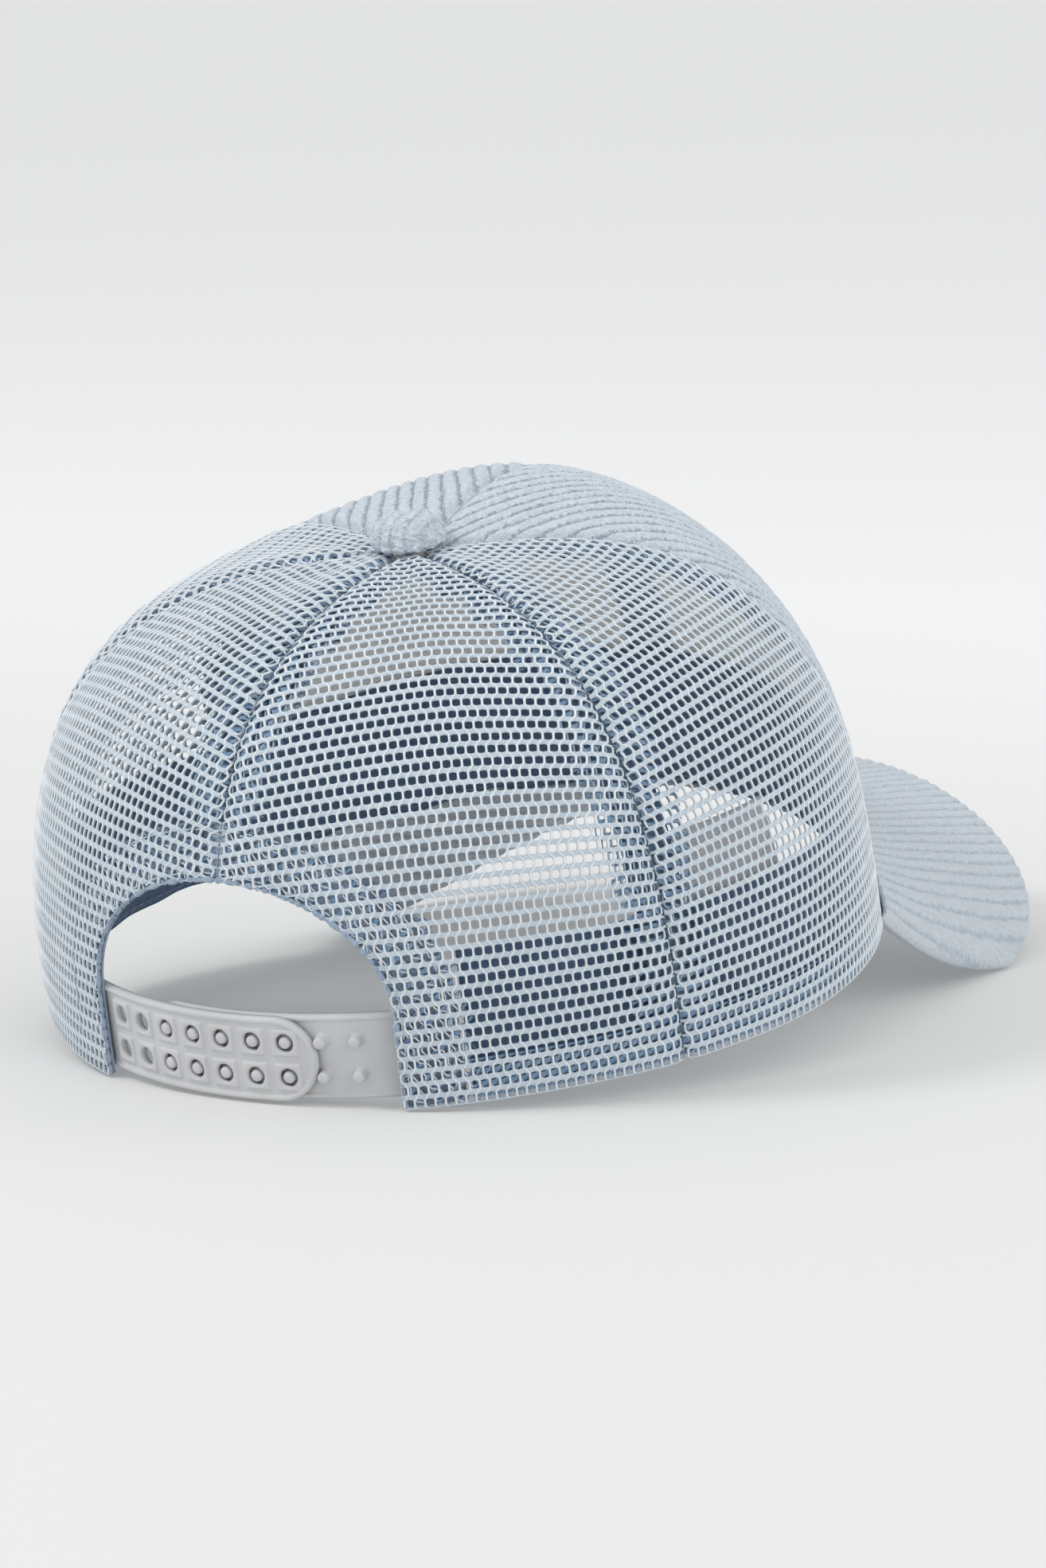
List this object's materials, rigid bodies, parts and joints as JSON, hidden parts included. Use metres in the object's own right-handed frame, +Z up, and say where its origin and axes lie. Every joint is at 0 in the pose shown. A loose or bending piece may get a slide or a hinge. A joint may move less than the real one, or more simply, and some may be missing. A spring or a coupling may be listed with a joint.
{
  "type": "baseball cap",
  "caption": "Trucker-style baseball cap with corduroy front panels and curved brim, mesh side and back panels, cloth button, sweatband and a plastic snap strap that opens.",
  "frame": {"origin": "bottom centre of the cap's box, on the surface that the cap stands on", "axes": "+Z up; -Y towards the brim's front edge; +X towards the wearer's left. The rim leans back 9.82 degrees, because the brim's corners prop up the front."},
  "size_m": [0.188, 0.25, 0.1189],
  "materials": {
    "corduroy": "ribbed cotton corduroy, soft napped wales",
    "mesh": "knitted polyester mesh with staggered rounded holes",
    "buckram": "stiffened woven lining",
    "seam_tape": "folded cotton twill tape",
    "sweatband": "soft cotton twill band, folded and stitched",
    "label": "plain satin ribbon, blank",
    "brim_board": "moulded stiffener, hidden in the brim",
    "button_metal": "pressed button shell, rivet and washer",
    "strap_plastic": "semi-matte moulded soft plastic"
  },
  "bodies": {
    "crown": {"front_panel_left": "corduroy", "front_panel_right": "corduroy", "brim_top_cloth": "corduroy", "brim_under_cloth": "corduroy", "button_cloth": "corduroy", "side_mesh_left": "mesh", "side_mesh_right": "mesh", "back_mesh_left": "mesh", "back_mesh_right": "mesh", "front_backing_left": "buckram", "front_backing_right": "buckram", "front_seam_tape_left": "seam_tape", "front_seam_tape_right": "seam_tape", "side_seam_tape_left": "seam_tape", "side_seam_tape_right": "seam_tape", "centre_front_tape": "seam_tape", "centre_back_tape": "seam_tape", "arch_binding": "seam_tape", "sweatband": "sweatband", "care_label": "label", "size_label": "label", "brim_board": "brim_board", "button_shell": "button_metal", "button_rivet": "button_metal", "button_backplate": "button_metal", "hole_strap_tab": "strap_plastic", "peg_strap_tab": "strap_plastic"},
    "hole_strap": {"hole_strap": "strap_plastic"},
    "peg_strap": {"peg_strap": "strap_plastic"}
  },
  "joints": [
    {"name": "hole_strap_bend", "type": "hinge", "parent": "crown", "child": "hole_strap", "pos_m": [0.03389, 0.11306, 0.01112], "axis": [0, 0, -1], "range_deg": [0, 60]},
    {"name": "peg_strap_bend", "type": "hinge", "parent": "crown", "child": "peg_strap", "pos_m": [-0.03305, 0.11127, 0.01143], "axis": [0, 0, -1], "range_deg": [0, 30]}
  ]
}
